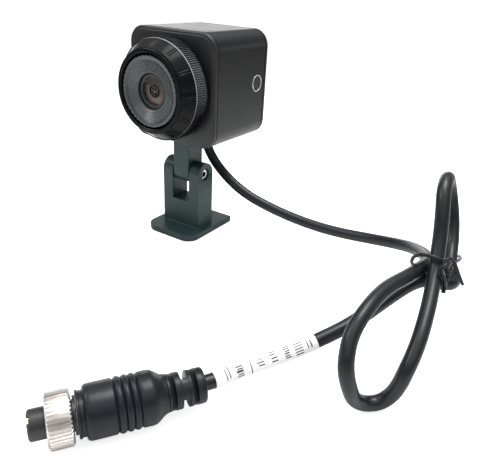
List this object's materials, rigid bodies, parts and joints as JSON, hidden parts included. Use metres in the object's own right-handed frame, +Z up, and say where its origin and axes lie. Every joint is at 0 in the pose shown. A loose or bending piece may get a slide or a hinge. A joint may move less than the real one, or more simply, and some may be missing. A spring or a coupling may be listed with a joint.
{
  "type": "vehicle backup camera",
  "caption": "Small cube-shaped rear-view camera with a focus ring, on a clevis tilt bracket, with a looped, tied lead ending in a round screw connector.",
  "frame": {"origin": "on the underside of the adhesive pad, straight below the middle of the tilt hinge", "axes": "+Z up; the lens looks along -Y; x = 0 is the plane of symmetry of the camera and bracket, +X is the side the lead goes to"},
  "size_m": [0.1707, 0.1749, 0.1009],
  "materials": {
    "bracket_metal": "satin",
    "foam_pad": "matte",
    "screw_steel": "satin",
    "black_screw": "satin",
    "washer_nylon": "matte",
    "case_metal": "satin",
    "panel_plastic": "satin",
    "seal_rubber": "matte",
    "lens_ring_metal": "satin",
    "lens_plastic": "satin",
    "lens_black": "matte",
    "lens_glass": "polished",
    "filter_glass": "polished",
    "sensor_package": "gloss",
    "circuit_board": "satin",
    "board_component": "matte",
    "brass_spacer": "satin",
    "header_white": "satin",
    "plug_metal": "satin",
    "cord_pvc": "gloss",
    "label_paper": "matte",
    "tie_pvc": "gloss",
    "contact_metal": "polished",
    "insert_plastic": "matte",
    "nickel": "satin",
    "overmould_pvc": "gloss"
  },
  "bodies": {
    "base": {"bracket": "bracket_metal", "adhesive_pad": "foam_pad", "hinge_screw": "screw_steel", "hinge_nut": "screw_steel", "hinge_washers": "washer_nylon", "cable": "cord_pvc", "cable_label": "label_paper", "twist_tie": "tie_pvc", "plug_insert": "insert_plastic", "plug_pins": "contact_metal", "nut_clip": "plug_metal", "nut_collar": "overmould_pvc", "plug_body": "overmould_pvc", "strain_relief": "overmould_pvc"},
    "focus_ring": {"lens_ring": "lens_ring_metal"},
    "lens_cell": {"lens_barrel": "lens_plastic", "lens_retainer": "lens_black", "front_glass": "lens_glass", "aperture_stop": "lens_black", "middle_glass": "lens_glass", "lens_spacer": "lens_black", "rear_glass": "lens_glass", "rear_spacer": "lens_black", "rear_retainer": "lens_black"},
    "coupling_nut": {"coupling_nut": "nickel"},
    "head": {"arm_screws": "screw_steel", "board_link": "header_white", "board_parts": "board_component", "board_screws": "screw_steel", "board_spacers": "brass_spacer", "cable_clamp": "lens_black", "cable_grommet": "seal_rubber", "cable_header": "header_white", "cable_plug": "header_white", "cable_tail": "cord_pvc", "case_screws": "black_screw", "case_sleeve": "case_metal", "front_gasket": "seal_rubber", "front_panel": "panel_plastic", "image_sensor": "sensor_package", "ir_filter": "filter_glass", "lens_mount": "lens_black", "main_board": "circuit_board", "mount_screws": "black_screw", "rear_cover": "case_metal", "rear_gasket": "seal_rubber", "sensor_board": "circuit_board", "side_plugs": "panel_plastic", "side_rings": "plug_metal", "tilt_arm": "bracket_metal"}
  },
  "joints": [
    {"name": "tilt", "type": "hinge", "parent": "base", "child": "head", "pos_m": [0, 0, 0.0318], "axis": [1, 0, 0], "range_deg": [-45, 60], "deforming": ["cable"]},
    {"name": "focus", "type": "hinge", "parent": "head", "child": "focus_ring", "pos_m": [0, -0.0185, 0.0752], "axis": [0, -1, 0], "range_deg": [-60, 120]},
    {"name": "lens_travel", "type": "slide", "parent": "head", "child": "lens_cell", "axis": [0, -1, 0], "range_m": [-0.00021, 0.00042]},
    {"name": "nut_turn", "type": "hinge", "parent": "base", "child": "coupling_nut", "pos_m": [0.06295, -0.13434, 0.0083], "axis": [0.5734, 0.8193, 0], "continuous": true}
  ],
  "couplings": [
    {"joint": "lens_travel", "follows": "focus", "m_per_rad": 0.00019099}
  ]
}
